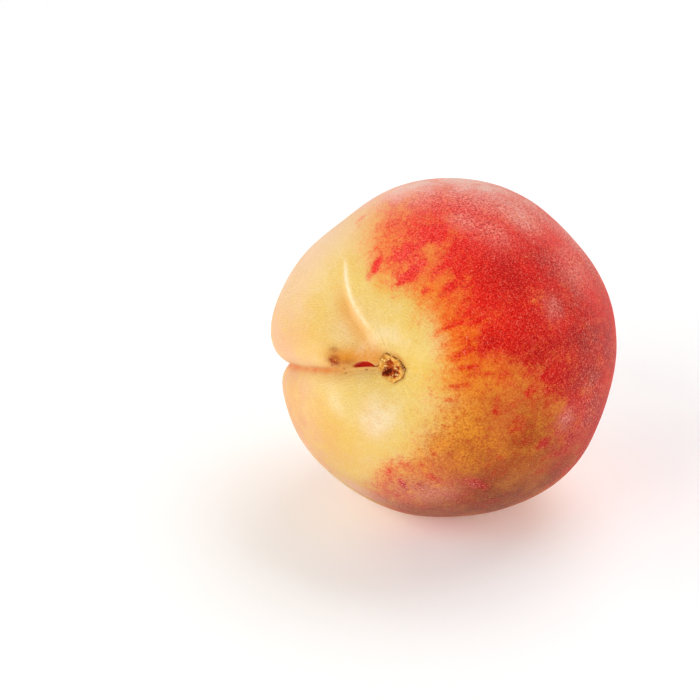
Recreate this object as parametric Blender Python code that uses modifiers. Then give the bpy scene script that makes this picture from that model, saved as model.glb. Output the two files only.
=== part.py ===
"""A whole ripe peach lying on its side, stem end to the front (-Y).

Two pieces: the fruit, one grown body, and the dry woody stub of its stalk, set in the
hollow at the stem end. +Z is up, the ground is z = 0 and lengths below are millimetres.

The fruit is drawn about its own axes: w runs from the core to the stem end, u from the
core to the suture (the long crease), and v is square to both. A place on the skin is
given by its polar angle from the stem and its azimuth round the stem, from the suture.
"""

import bmesh
import bpy
import numpy as np
from math import cos, radians, sin
from mathutils import Matrix, Vector

MM = 0.001

# Overall size of the fruit, before its swellings and flats
WIDE_RADIUS = 37.3
STEM_RADIUS = 34.8
TIP_RADIUS = 34.2
ARC_RADIUS = 36.0  # turns an angle into a length along the skin

# How it lies
STEM_RISE = 18.73  # degrees that the stem end points above the level
SUTURE_ROLL = -13.0  # degrees that the suture is turned round the stem, below the level
REST_SINK = 1.05  # how much of the underside is pressed flat by its own weight

# Hollow round the stem, with the shoulder that rings it
HOLLOW_DEPTH, HOLLOW_WIDTH = 2.9, 8.4
SHOULDER_RISE, SHOULDER_AT, SHOULDER_WIDTH = 0.7, 16.5, 7.5

# Suture: depth and half-width at polar angles from the stem to the tip
SUTURE_DEPTH_AT = (0, 8, 22, 45, 65, 95, 130, 165, 180)
SUTURE_DEPTH = (0.8, 2.2, 2.6, 3.2, 3.5, 2.2, 1.5, 1.0, 0.6)
SUTURE_WIDTH_AT = (0, 12, 25, 65, 95, 180)
SUTURE_WIDTH = (1.2, 1.8, 2.2, 2.0, 3.2, 3.0)
SUTURE_ROUND = 0.3

# Fold in the upper lobe: the line of its crest, how far the skin drops beside it, and
# the pad of flesh that stands up again past the drop
FOLD_LINE = ((12.0, -27.0), (8.6, -13.5), (0.0, -5.2))
FOLD_DROP, FOLD_WIDTH, FOLD_REACH = 1.7, 2.9, 14.0
PAD_RISE, PAD_AT, PAD_SIZE = 0.8, (19.5, -9.5), (7.0, 7.5)

# Tip at the blossom end
TIP_RISE, TIP_WIDTH = 1.7, 4.5
TIP_MOAT, TIP_MOAT_AT, TIP_MOAT_WIDTH = 0.8, 9.0, 5.0

# Swellings (+) and flats (-): azimuth, polar angle, height, half-width in degrees
SWELLINGS = (
    (-14, 67, 1.3, 14),
    (-36, 74, 0.5, 15),
    (-57, 80, -1.25, 17),
    (9, 65, -0.6, 13),
    (60, 71, -0.8, 20),
    (92, 82, -1.2, 18),
    (112, 90, -0.6, 14),
    (134, 98, 0.2, 13),
    (158, 106, -1.1, 14),
    (-140, 108, -0.4, 14),
    (-160, 110, 0.3, 14),
    (-95, 94, 0.3, 18),
    (-118, 100, 0.3, 16),
)

# Stalk stub: corners of its outline as (u, v), how deep it is set and how far it stands
# out of the hollow's floor, and the gap round it
STUB_CORNERS = (
    (3.1, -0.3),
    (2.4, -2.3),
    (1.0, -3.5),
    (-1.8, -2.0),
    (-3.5, 0.15),
    (-2.7, 2.1),
    (-0.2, 3.3),
    (2.4, 1.6),
)
STUB_SET, STUB_PROUD, STUB_GAP = 1.8, 0.75, 0.3
STUB_TAPER = 0.8  # share of the outline left at the bottom of the stub
STUB_BEVEL = 0.25

# Mesh
AROUND, ALONG = 68, 44
CROWD_SUTURE = 0.62  # how far the columns crowd towards the suture
CROWD_STEM = 0.40  # how far the rows crowd towards the stem


def bell(x):
    return np.exp(-x * x)


def ramp(x, low, high):
    t = np.clip((x - low) / (high - low), 0.0, 1.0)
    return t * t * (3.0 - 2.0 * t)


def beside_curve(p, q, corners, steps=48):
    """How far each place lies beside a quadratic curve, positive on its u side, and how
    far along the curve its nearest point is."""
    a, b, c = (np.array(corner) for corner in corners)
    t = np.linspace(0.0, 1.0, steps)[:, None]
    line = (1 - t) ** 2 * a + 2 * t * (1 - t) * b + t * t * c
    nearest = np.full(p.shape, 1e9)
    along = np.zeros(p.shape)
    side = np.zeros(p.shape)
    for i in range(steps - 1):
        start, run = line[i], line[i + 1] - line[i]
        share = np.clip(
            ((p - start[0]) * run[0] + (q - start[1]) * run[1]) / (run @ run), 0, 1
        )
        away = np.hypot(p - start[0] - share * run[0], q - start[1] - share * run[1])
        closer = away < nearest
        turn = run[1] * (p - start[0]) - run[0] * (q - start[1])
        nearest = np.where(closer, away, nearest)
        along = np.where(closer, (i + share) / (steps - 1), along)
        side = np.where(closer, np.sign(turn), side)
    return nearest * side, along


def skin_radius(u, v, w):
    """Distance from the core to the skin along each unit direction."""
    w = np.clip(w, -1.0, 1.0)
    polar = np.arccos(w)
    azimuth = np.arctan2(v, u)
    end = np.where(w > 0, STEM_RADIUS, TIP_RADIUS)
    radius = 1.0 / np.sqrt((1 - w * w) / WIDE_RADIUS**2 + (w / end) ** 2)

    for around, down, height, width in SWELLINGS:
        around, down = radians(around), radians(down)
        toward = (
            u * sin(down) * cos(around) + v * sin(down) * sin(around) + w * cos(down)
        )
        radius = radius + height * np.exp((toward - 1) / (1 - cos(radians(width))))

    from_stem = polar * ARC_RADIUS
    radius = radius + SHOULDER_RISE * bell((from_stem - SHOULDER_AT) / SHOULDER_WIDTH)
    radius = radius - HOLLOW_DEPTH * bell(from_stem / HOLLOW_WIDTH)

    across = ARC_RADIUS * np.arcsin(np.clip(np.abs(v), 0, 1))
    across = np.hypot(across, SUTURE_ROUND) - SUTURE_ROUND
    degrees = np.degrees(polar)
    depth = np.interp(degrees, SUTURE_DEPTH_AT, SUTURE_DEPTH)
    width = np.interp(degrees, SUTURE_WIDTH_AT, SUTURE_WIDTH)
    on_this_side = ramp(u * ARC_RADIUS, -1.5, 4.0)
    radius = radius - on_this_side * depth * np.exp(-across / width)

    p, q = from_stem * np.cos(azimuth), from_stem * np.sin(azimuth)
    stem_half = ramp(w, -0.1, 0.3)
    beside, along = beside_curve(p, q, FOLD_LINE)
    drop = ramp(beside, -0.5, FOLD_WIDTH) * (1 - ramp(beside, 3.0, FOLD_REACH))
    ends = ramp(along, 0.0, 0.5) * (1 - ramp(along, 0.72, 1.0))
    radius = radius - stem_half * FOLD_DROP * drop * ends
    pad = np.hypot((p - PAD_AT[0]) / PAD_SIZE[0], (q - PAD_AT[1]) / PAD_SIZE[1])
    radius = radius + stem_half * PAD_RISE * bell(pad)

    from_tip = (np.pi - polar) * ARC_RADIUS
    radius = radius + TIP_RISE * bell(from_tip / TIP_WIDTH)
    return radius - TIP_MOAT * bell((from_tip - TIP_MOAT_AT) / TIP_MOAT_WIDTH)


def fruit_axes():
    """The fruit's u, v and w axes where it lies, as the columns of a matrix."""
    rise, roll = radians(STEM_RISE), radians(SUTURE_ROLL)
    stem = Vector((0.0, -cos(rise), sin(rise)))
    level = Vector((-1.0, 0.0, 0.0))
    suture = level * cos(roll) + level.cross(stem) * sin(roll)
    return Matrix((suture, stem.cross(suture), stem)).transposed()


def fruit_mesh(name):
    """A sphere with its rows and columns crowded where the detail is, then shaped."""
    shape = bmesh.new()
    bmesh.ops.create_uvsphere(shape, u_segments=AROUND, v_segments=ALONG, radius=1.0)
    points = np.array([vert.co[:] for vert in shape.verts])
    polar = np.arccos(np.clip(points[:, 2], -1, 1))
    azimuth = np.arctan2(points[:, 1], points[:, 0])
    polar = polar - CROWD_STEM * np.sin(polar)
    azimuth = azimuth - CROWD_SUTURE * np.sin(azimuth)
    u = np.sin(polar) * np.cos(azimuth)
    v = np.sin(polar) * np.sin(azimuth)
    w = np.cos(polar)
    radius = skin_radius(u, v, w) * MM
    for vert, place in zip(shape.verts, np.stack([u, v, w], 1) * radius[:, None]):
        vert.co = place
    mesh = bpy.data.meshes.new(name)
    shape.to_mesh(mesh)
    shape.free()
    mesh.shade_smooth()
    return mesh


def stub_outline(angle, grown):
    """Distance from the stem axis to the stub's outline at an angle round it."""
    corners = [Vector(corner) for corner in STUB_CORNERS]
    facing = Vector((cos(angle), sin(angle)))
    best = 0.0
    for one, other in zip(corners, corners[1:] + corners[:1]):
        edge = other - one
        spread = facing.x * edge.y - facing.y * edge.x
        if abs(spread) < 1e-9:
            continue
        far = (one.x * edge.y - one.y * edge.x) / spread
        share = (one.x * facing.y - one.y * facing.x) / spread
        if far > 0 and -1e-6 <= share <= 1 + 1e-6:
            best = max(best, far)
    return best + grown


def stub_mesh(name, floor, bottom, top, grown, sides=28):
    """A plug with the stub's outline that narrows downwards. Bottom and top are heights
    above the hollow's floor."""
    shape = bmesh.new()
    bmesh.ops.create_cone(
        shape, cap_ends=True, segments=sides, radius1=1.0, radius2=1.0, depth=2.0
    )
    for vert in shape.verts:
        angle = np.arctan2(vert.co.y, vert.co.x)
        height = bottom if vert.co.z < 0 else top
        risen = (height + STUB_SET) / (STUB_PROUD + STUB_SET)
        reach = stub_outline(angle, grown) * (STUB_TAPER + (1 - STUB_TAPER) * risen)
        vert.co = Vector((reach * cos(angle), reach * sin(angle), floor + height)) * MM
    mesh = bpy.data.meshes.new(name)
    shape.to_mesh(mesh)
    shape.free()
    mesh.shade_smooth()
    mesh.set_sharp_from_angle(angle=radians(35))
    return mesh


def material(name, colour, roughness):
    made = bpy.data.materials.new(name)
    made.use_nodes = True
    surface = made.node_tree.nodes["Principled BSDF"]
    surface.inputs["Base Color"].default_value = (*colour, 1.0)
    surface.inputs["Roughness"].default_value = roughness
    surface.inputs["Metallic"].default_value = 0.0
    return made


def place(name, mesh, parent, collection):
    thing = bpy.data.objects.new(name, mesh)
    collection.objects.link(thing)
    thing.parent = parent
    return thing


def cut(thing, cutter, name):
    cutter.hide_render = True
    cutter.display_type = "WIRE"
    modifier = thing.modifiers.new(name, "BOOLEAN")
    modifier.operation = "DIFFERENCE"
    modifier.solver = "EXACT"
    modifier.object = cutter


def main():
    for thing in list(bpy.data.objects):
        bpy.data.objects.remove(thing, do_unlink=True)
    peach = bpy.data.collections.new("peach")
    cutters = bpy.data.collections.new("cutters")
    for collection in (peach, cutters):
        bpy.context.scene.collection.children.link(collection)

    mesh = fruit_mesh("peach_fruit")
    axes = fruit_axes()
    lying = np.array([(axes @ vert.co)[:] for vert in mesh.vertices])
    low, high = lying.min(axis=0), lying.max(axis=0)
    core = bpy.data.objects.new("core", None)
    core.empty_display_size = 0.01
    peach.objects.link(core)
    core.rotation_euler = axes.to_euler()
    core.location = (
        -(low[0] + high[0]) / 2,
        -(low[1] + high[1]) / 2,
        -low[2] - REST_SINK * MM,
    )

    fruit = place("peach_fruit", mesh, core, peach)
    fruit.data.materials.append(material("peach_skin", (0.82, 0.33, 0.12), 0.6))

    floor = float(skin_radius(np.zeros(1), np.zeros(1), np.ones(1))[0])
    stub = place(
        "stem_stub",
        stub_mesh("stem_stub", floor, -STUB_SET, STUB_PROUD, 0.0),
        core,
        peach,
    )
    stub.data.materials.append(material("dry_stem", (0.36, 0.17, 0.05), 0.75))
    edge = stub.modifiers.new("worn_edge", "BEVEL")
    edge.width = STUB_BEVEL * MM
    edge.segments = 2
    edge.limit_method = "ANGLE"
    edge.angle_limit = radians(50)

    socket = place(
        "stub_socket",
        stub_mesh("stub_socket", floor, -STUB_SET - STUB_GAP, 6.0, STUB_GAP / 0.8),
        core,
        cutters,
    )
    cut(fruit, socket, "socket")

    ground = bmesh.new()
    bmesh.ops.create_cube(ground, size=1.0)
    bmesh.ops.scale(ground, vec=(0.1, 0.1, 0.01), verts=ground.verts)
    bmesh.ops.translate(ground, vec=(0.0, 0.0, -0.005), verts=ground.verts)
    ground_mesh = bpy.data.meshes.new("ground_cut")
    ground.to_mesh(ground_mesh)
    ground.free()
    cut(fruit, place("ground_cut", ground_mesh, None, cutters), "rest_spot")


main()
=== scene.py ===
"""The looks of a ripe peach: its skin, its woody stalk stub, and the studio round it."""

from math import cos, radians, sin, tan

import bmesh
import bpy
import numpy as np
from mathutils import Matrix, Vector, noise


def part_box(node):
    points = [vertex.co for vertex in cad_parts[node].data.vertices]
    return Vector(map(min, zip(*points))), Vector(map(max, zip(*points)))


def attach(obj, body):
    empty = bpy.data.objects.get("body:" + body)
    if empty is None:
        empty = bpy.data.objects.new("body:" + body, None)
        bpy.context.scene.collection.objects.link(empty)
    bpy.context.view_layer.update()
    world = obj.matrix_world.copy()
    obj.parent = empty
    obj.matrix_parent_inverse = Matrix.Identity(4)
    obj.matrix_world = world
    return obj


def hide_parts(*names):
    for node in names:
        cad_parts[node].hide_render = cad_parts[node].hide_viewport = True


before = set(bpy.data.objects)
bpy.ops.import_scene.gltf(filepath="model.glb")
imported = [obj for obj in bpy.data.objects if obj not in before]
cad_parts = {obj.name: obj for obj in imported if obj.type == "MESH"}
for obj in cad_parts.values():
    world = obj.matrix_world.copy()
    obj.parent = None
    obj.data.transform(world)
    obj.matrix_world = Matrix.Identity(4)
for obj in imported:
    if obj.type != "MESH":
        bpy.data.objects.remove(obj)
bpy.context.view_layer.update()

MM = 0.001

# ---------------------------------------------------------------- the fruit's shape
# Millimetres, about the fruit's own axes: w to the stem end, u to the suture, v across.

WIDE_RADIUS = 37.3
STEM_RADIUS = 34.8
TIP_RADIUS = 34.2
ARC_RADIUS = 36.0
STEM_RISE = 18.73
SUTURE_ROLL = -13.0
HOLLOW_DEPTH, HOLLOW_WIDTH = 2.9, 8.4
SHOULDER_RISE, SHOULDER_AT, SHOULDER_WIDTH = 0.7, 16.5, 7.5
SUTURE_DEPTH_AT = (0, 8, 22, 45, 65, 95, 130, 165, 180)
SUTURE_DEPTH = (0.8, 2.2, 2.6, 3.2, 3.5, 2.2, 1.5, 1.0, 0.6)
SUTURE_WIDTH_AT = (0, 12, 25, 65, 95, 180)
SUTURE_WIDTH = (1.2, 1.8, 2.2, 2.0, 3.2, 3.0)
SUTURE_ROUND = 0.3
FOLD_LINE = ((12.0, -27.0), (8.6, -13.5), (0.0, -5.2))
FOLD_DROP, FOLD_WIDTH, FOLD_REACH = 1.7, 2.9, 14.0
PAD_RISE, PAD_AT, PAD_SIZE = 0.8, (19.5, -9.5), (7.0, 7.5)
TIP_RISE, TIP_WIDTH = 1.7, 4.5
TIP_MOAT, TIP_MOAT_AT, TIP_MOAT_WIDTH = 0.8, 9.0, 5.0
SWELLINGS = (
    (-14, 67, 1.3, 14),
    (-36, 74, 0.5, 15),
    (-57, 80, -1.25, 17),
    (9, 65, -0.6, 13),
    (60, 71, -0.8, 20),
    (92, 82, -1.2, 18),
    (112, 90, -0.6, 14),
    (134, 98, 0.2, 13),
    (158, 106, -1.1, 14),
    (-140, 108, -0.4, 14),
    (-160, 110, 0.3, 14),
    (-95, 94, 0.3, 18),
    (-118, 100, 0.3, 16),
)
STUB_CORNERS = (
    (3.1, -0.3),
    (2.4, -2.3),
    (1.0, -3.5),
    (-1.8, -2.0),
    (-3.5, 0.15),
    (-2.7, 2.1),
    (-0.2, 3.3),
    (2.4, 1.6),
)
STUB_SET, STUB_PROUD = 1.8, 0.75
AROUND, ALONG = 400, 246
CROWD_SUTURE, CROWD_STEM = 0.62, 0.42

# The slit beside the stem, where the suture's lips stand apart
SLIT_FROM, SLIT_TO, SLIT_LOW, SLIT_HIGH, SLIT_DEPTH = 4.9, 9.9, -0.5, 1.35, 1.1


def bell(x):
    return np.exp(-x * x)


def ramp(x, low, high):
    t = np.clip((x - low) / (high - low), 0.0, 1.0)
    return t * t * (3.0 - 2.0 * t)


def beside_curve(p, q, corners, steps=64):
    a, b, c = (np.array(corner) for corner in corners)
    t = np.linspace(0.0, 1.0, steps)[:, None]
    line = (1 - t) ** 2 * a + 2 * t * (1 - t) * b + t * t * c
    nearest = np.full(p.shape, 1e9)
    along = np.zeros(p.shape)
    side = np.zeros(p.shape)
    for i in range(steps - 1):
        start, run = line[i], line[i + 1] - line[i]
        share = np.clip(
            ((p - start[0]) * run[0] + (q - start[1]) * run[1]) / (run @ run), 0, 1
        )
        away = np.hypot(p - start[0] - share * run[0], q - start[1] - share * run[1])
        closer = away < nearest
        turn = run[1] * (p - start[0]) - run[0] * (q - start[1])
        nearest = np.where(closer, away, nearest)
        along = np.where(closer, (i + share) / (steps - 1), along)
        side = np.where(closer, np.sign(turn), side)
    return nearest * side, along


def slit_share(p, q, spread=0.0):
    """1 inside the slit, 0 outside it. Its lower lip is straight and its upper one arched."""
    middle, half = (SLIT_FROM + SLIT_TO) / 2, (SLIT_TO - SLIT_FROM) / 2
    t = np.clip((p - middle) / half, -1, 1)
    arch = np.sqrt(1 - (t + 0.3 * (1 - t * t)) ** 2)
    inside = np.minimum(SLIT_LOW - q, q - (SLIT_LOW - SLIT_HIGH * arch))
    return ramp(inside + spread, -0.02, 0.22) * ramp(arch, 0.02, 0.3)


def skin_radius(u, v, w):
    w = np.clip(w, -1.0, 1.0)
    polar = np.arccos(w)
    azimuth = np.arctan2(v, u)
    end = np.where(w > 0, STEM_RADIUS, TIP_RADIUS)
    radius = 1.0 / np.sqrt((1 - w * w) / WIDE_RADIUS**2 + (w / end) ** 2)
    for around, down, height, width in SWELLINGS:
        around, down = radians(around), radians(down)
        toward = (
            u * sin(down) * cos(around) + v * sin(down) * sin(around) + w * cos(down)
        )
        radius = radius + height * np.exp((toward - 1) / (1 - cos(radians(width))))
    from_stem = polar * ARC_RADIUS
    radius = radius + SHOULDER_RISE * bell((from_stem - SHOULDER_AT) / SHOULDER_WIDTH)
    radius = radius - HOLLOW_DEPTH * bell(from_stem / HOLLOW_WIDTH)
    across = ARC_RADIUS * np.arcsin(np.clip(np.abs(v), 0, 1))
    across = np.hypot(across, SUTURE_ROUND) - SUTURE_ROUND
    degrees = np.degrees(polar)
    depth = np.interp(degrees, SUTURE_DEPTH_AT, SUTURE_DEPTH)
    width = np.interp(degrees, SUTURE_WIDTH_AT, SUTURE_WIDTH)
    on_this_side = ramp(u * ARC_RADIUS, -1.5, 4.0)
    radius = radius - on_this_side * depth * np.exp(-across / width)
    p, q = from_stem * np.cos(azimuth), from_stem * np.sin(azimuth)
    stem_half = ramp(w, -0.1, 0.3)
    beside, along = beside_curve(p, q, FOLD_LINE)
    drop = ramp(beside, -0.5, FOLD_WIDTH) * (1 - ramp(beside, 3.0, FOLD_REACH))
    ends = ramp(along, 0.0, 0.5) * (1 - ramp(along, 0.72, 1.0))
    radius = radius - stem_half * FOLD_DROP * drop * ends
    pad = np.hypot((p - PAD_AT[0]) / PAD_SIZE[0], (q - PAD_AT[1]) / PAD_SIZE[1])
    radius = radius + stem_half * PAD_RISE * bell(pad)
    from_tip = (np.pi - polar) * ARC_RADIUS
    radius = radius + TIP_RISE * bell(from_tip / TIP_WIDTH)
    return radius - TIP_MOAT * bell((from_tip - TIP_MOAT_AT) / TIP_MOAT_WIDTH)


def fruit_axes():
    rise, roll = radians(STEM_RISE), radians(SUTURE_ROLL)
    stem = Vector((0.0, -cos(rise), sin(rise)))
    level = Vector((-1.0, 0.0, 0.0))
    suture = level * cos(roll) + level.cross(stem) * sin(roll)
    return Matrix((suture, stem.cross(suture), stem)).transposed()


def stub_reach(angles):
    """Distance from the stem axis to the stub's outline at each angle."""
    corners = np.array(STUB_CORNERS)
    reach = np.zeros(len(angles))
    facing = np.stack([np.cos(angles), np.sin(angles)], 1)
    for one, other in zip(corners, np.roll(corners, -1, axis=0)):
        edge = other - one
        spread = facing[:, 0] * edge[1] - facing[:, 1] * edge[0]
        spread = np.where(np.abs(spread) < 1e-9, 1e-9, spread)
        far = (one[0] * edge[1] - one[1] * edge[0]) / spread
        share = (one[0] * facing[:, 1] - one[1] * facing[:, 0]) / spread
        hit = (far > 0) & (share >= -1e-6) & (share <= 1 + 1e-6)
        reach = np.where(hit, np.maximum(reach, far), reach)
    return reach


def soft_noise(points, size, seed=0.0):
    """Smooth noise from -1 to 1 that changes over about `size`, in the points' unit."""
    at = points / size + np.array((seed, seed * 1.7, -seed * 0.6))
    cell = np.floor(at)
    share = at - cell
    share = share**3 * (share * (share * 6 - 15) + 10)
    cell = cell.astype(np.int64)
    total = np.zeros(len(at))
    for corner in np.ndindex(2, 2, 2):
        x, y, z = (cell + np.array(corner)).T
        key = (x * 73856093) ^ (y * 19349663) ^ (z * 83492791)
        key = (key & 0xFFFFFF) * 1274126177
        key = ((key >> 11) ^ (key >> 23)) & 0xFFFF
        weight = np.where(corner, share, 1 - share).prod(axis=1)
        total += weight * (key / 32767.5 - 1.0)
    return total


axes = np.array(fruit_axes())
sphere = bmesh.new()
bmesh.ops.create_uvsphere(sphere, u_segments=AROUND, v_segments=ALONG, radius=1.0)
skin_mesh = bpy.data.meshes.new("peach_skin_mesh")
sphere.to_mesh(skin_mesh)
sphere.free()
count = len(skin_mesh.vertices)
unit = np.empty(count * 3, np.float32)
skin_mesh.vertices.foreach_get("co", unit)
unit = unit.reshape(-1, 3).astype(float)
polar = np.arccos(np.clip(unit[:, 2], -1, 1))
azimuth = np.arctan2(unit[:, 1], unit[:, 0])
polar = polar - CROWD_STEM * np.sin(polar)
azimuth = azimuth - CROWD_SUTURE * np.sin(azimuth)
facing = np.stack(
    [np.sin(polar) * np.cos(azimuth), np.sin(polar) * np.sin(azimuth), np.cos(polar)], 1
)
radius = skin_radius(*facing.T)
from_stem = polar * ARC_RADIUS
p, q = from_stem * np.cos(azimuth), from_stem * np.sin(azimuth)

# slow unevenness of the flesh under the skin
lumps = soft_noise(facing * 36.0, 13.0, 3.1) * 0.16 + soft_noise(facing * 36.0, 5.0, 8.4) * 0.035
radius = radius + lumps * ramp(from_stem, 4.0, 14.0)

# fine wrinkles that run out of the hollow
fan = np.stack([np.cos(azimuth) * 13.0, np.sin(azimuth) * 13.0, from_stem * 0.10], 1)
wrinkles = np.abs(soft_noise(fan, 1.0, 11.0)) - 0.3
radius = radius - 0.11 * wrinkles * ramp(from_stem, 2.5, 5.0) * (1 - ramp(from_stem, 9.0, 17.0))

# the slit, and the socket that the stub sits in
slit = slit_share(p, q)
radius = radius - SLIT_DEPTH * slit
floor_radius = float(skin_radius(np.zeros(1), np.zeros(1), np.ones(1))[0])
outline = stub_reach(azimuth)
inside_stub = 1 - ramp(from_stem - outline, -0.55, -0.15)
radius = radius - 2.0 * inside_stub

local = facing * radius[:, None]
world = local @ axes.T
low, high = world.min(axis=0), world.max(axis=0)
fruit_low, fruit_high = (np.array(corner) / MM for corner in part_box("peach_fruit"))
core = (fruit_low + fruit_high) / 2 - (low + high) / 2
core[2] = fruit_high[2] - high[2]
world = world + core
# the underside is pressed flat where it rests, with a soft edge
rounding = 0.22
world[:, 2] = (world[:, 2] + np.sqrt(world[:, 2] ** 2 + rounding**2)) / 2
world[:, 2] -= world[:, 2].min()
skin_mesh.vertices.foreach_set("co", (world * MM).astype(np.float32).ravel())
skin_mesh.update()
skin_mesh.shade_smooth()
fruit = bpy.data.objects.new("peach_skin", skin_mesh)
bpy.context.scene.collection.objects.link(fruit)


def put_numbers(mesh, name, numbers):
    layer = mesh.attributes.new(name, "FLOAT", "POINT")
    layer.data.foreach_set("value", np.ascontiguousarray(numbers, np.float32).ravel())


def put_vectors(mesh, name, vectors):
    layer = mesh.attributes.new(name, "FLOAT_VECTOR", "POINT")
    layer.data.foreach_set("vector", np.ascontiguousarray(vectors, np.float32).ravel())


# ---------------------------------------------------------------- where the colours lie
# Azimuths in degrees round the stem, from the suture; distances in mm along the skin.
# Where the orange wash begins, and where solid red begins
WASH_STARTS = (
    (-180, 10.4), (-170, 10.4), (-160, 11.6), (-140, 13), (-120, 14), (-108, 16), (-96, 17.5), (-86, 18),
    (-70, 22), (-40, 40), (0, 60), (40, 40), (60, 28), (70, 23), (80, 21), (92, 19),
    (108, 15), (125, 13), (145, 12), (165, 11.3), (180, 10.4),
)
WASH_DEPTH = (
    (-180, 1.0), (-100, 1.0), (-90, 0.95), (-84, 0.82), (-78, 0.56), (-70, 0.25),
    (-60, 0.05), (-40, 0.1), (0, 0.12), (40, 0.1), (56, 0.12), (66, 0.4), (76, 0.75),
    (90, 0.9), (105, 1.0), (180, 1.0),
)
# How far the wash takes to come in, against its usual 12 mm
WASH_SPREAD = (
    (-180, 1.0), (-100, 0.9), (-84, 1.1), (0, 1.2), (80, 1.3), (105, 1.6), (150, 1.6),
    (170, 1.15), (180, 1.0),
)
RED_STARTS = (
    (-180, 21), (-175, 19.5), (-168, 18), (-160, 18.5), (-150, 18.6), (-140, 19.5),
    (-131, 21), (-124, 24), (-118, 23), (-113, 25.5), (-107, 25.5), (-101, 22),
    (-94, 21.5), (-88, 24), (-80, 29.5), (-60, 60), (0, 80), (40, 60), (58, 40),
    (66, 31), (74, 26), (83, 22.5), (100, 22), (110, 24), (118, 34), (125, 44),
    (140, 44), (150, 41), (160, 37.5), (167, 32), (174, 25), (180, 21),
)
RED_DEPTH = (
    (-180, 0.92), (-160, 0.95), (-140, 1.0), (-112, 0.93), (-98, 0.74), (-92, 0.62),
    (-87, 0.5), (-82, 0.4), (-76, 0.16), (-60, 0.06), (-30, 0.22), (0, 0.26),
    (40, 0.25), (58, 0.2), (66, 0.28), (76, 0.38), (95, 0.36), (108, 0.3),
    (118, 0.22), (130, 0.4), (142, 0.72), (155, 0.85), (180, 0.92),
)
# How far the red takes to come in
RED_SPREAD = (
    (-180, 9), (-150, 7), (-130, 8), (-116, 12), (-92, 12), (-80, 13), (0, 16),
    (60, 12), (85, 9), (110, 11), (125, 15), (165, 13), (180, 10),
)
# Streaks of red that reach toward the stem: azimuth, distance, half-width and
# half-length in mm, lean in mm across for each mm along, strength
STREAKS = (
    (-171, 16.6, 0.65, 3.9, -0.1, 0.74),
    (179, 16.6, 0.55, 3.4, -0.05, 0.7),
    (174, 20.4, 0.45, 2.4, -0.2, 0.6),
    (165, 15.8, 0.65, 2.4, -0.3, 0.6),
    (151, 14.4, 0.35, 1.9, -0.25, 0.42),
    (132, 16.6, 0.4, 1.4, -0.35, 0.4),
    (-168, 22.5, 2.0, 3.6, 0.0, 0.95),
    (-166, 14.8, 0.45, 2.0, 0.0, 0.3),
    (-159, 16.4, 0.6, 2.6, 0.24, 0.3),
    (-150, 17.2, 0.45, 3.8, 0.27, 0.9),
    (-143, 20.6, 0.7, 3.4, -0.06, 0.68),
    (-136, 20.6, 0.9, 2.8, 0.1, 0.6),
    (-130, 23.0, 0.9, 4.0, 0.1, 0.95),
    (-118, 18.2, 0.6, 1.3, 0.2, 0.85),
    (-120, 25.9, 1.15, 5.0, 0.2, 1.0),
    (-105, 20.9, 1.1, 3.8, 0.44, 0.95),
    (-104, 28.5, 1.4, 4.8, 0.6, 0.9),
    (-97, 25.6, 2.2, 3.4, 0.4, 0.85),
    (-89, 33.0, 1.3, 2.8, 0.39, 0.66),
    (-83, 22.4, 0.9, 2.4, 0.45, 0.85),
    (-84, 38.5, 0.5, 1.6, -1.2, 0.5),
    (-80, 30.0, 0.4, 2.6, 0.2, 0.3),
    (-71, 37.0, 0.8, 3.0, 0.0, 0.25),
    (154, 24.2, 0.8, 1.2, 0.25, 0.62),
    (150, 30.2, 1.8, 2.0, 0.2, 0.62),
    (166, 30.9, 1.4, 1.8, -0.5, 0.78),
    (160, 27.0, 1.2, 1.6, 0.2, 0.4),
    (146, 38.2, 1.3, 1.8, -0.5, 0.85),
    (141, 42.3, 0.9, 2.2, -0.5, 0.6),
    (134, 31.0, 0.9, 1.3, -0.5, 0.5),
    (127, 30.0, 0.8, 1.1, -0.8, 0.45),
    (79, 23.5, 0.9, 2.2, 0.2, 0.55),
    (85, 27.4, 0.7, 1.9, -0.17, 1.0),
    (94, 28.2, 0.8, 1.7, -0.31, 0.58),
    (101, 22.2, 1.2, 1.6, -0.4, 0.42),
    (103, 26.6, 0.7, 2.6, -0.45, 0.7),
    (73, 33.3, 0.65, 1.4, -1.0, 0.7),
    (104, 33.0, 0.5, 1.8, -1.1, 0.6),
    (84, 34.4, 0.8, 1.0, -2.0, 0.5),
    (115, 41.2, 0.9, 2.2, -0.3, 0.5),
    (80, 24.2, 0.7, 1.1, -0.3, 0.6),
    (84, 22.4, 0.5, 0.9, 0.0, 0.55),
    (112, 20.0, 0.7, 1.3, 0.1, 0.5),
    (-82, 26.8, 0.5, 0.8, 0.8, 0.5),
    (-72, 38.6, 0.7, 1.2, 0.5, 0.45),
    (149, 12.6, 0.25, 2.4, -0.1, 0.36),
    (116, 32.5, 1.2, 3.0, -0.4, 0.8),
    (72, 34.0, 1.6, 3.0, 0.0, 0.5),
    (128, 52.0, 1.4, 4.0, 0.2, 0.5),
    (145, 53.0, 2.4, 4.2, 0.2, 0.7),
    (-44, 78.0, 2.4, 6.0, 0.3, 0.24),
    (-22, 88.0, 1.6, 4.0, -0.2, 0.26),
    (26, 84.0, 2.2, 6.0, 0.2, 0.26),
    (52, 68.0, 1.8, 6.0, 0.0, 0.3),
    (68, 76.0, 2.4, 7.0, 0.3, 0.4),
)
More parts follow.
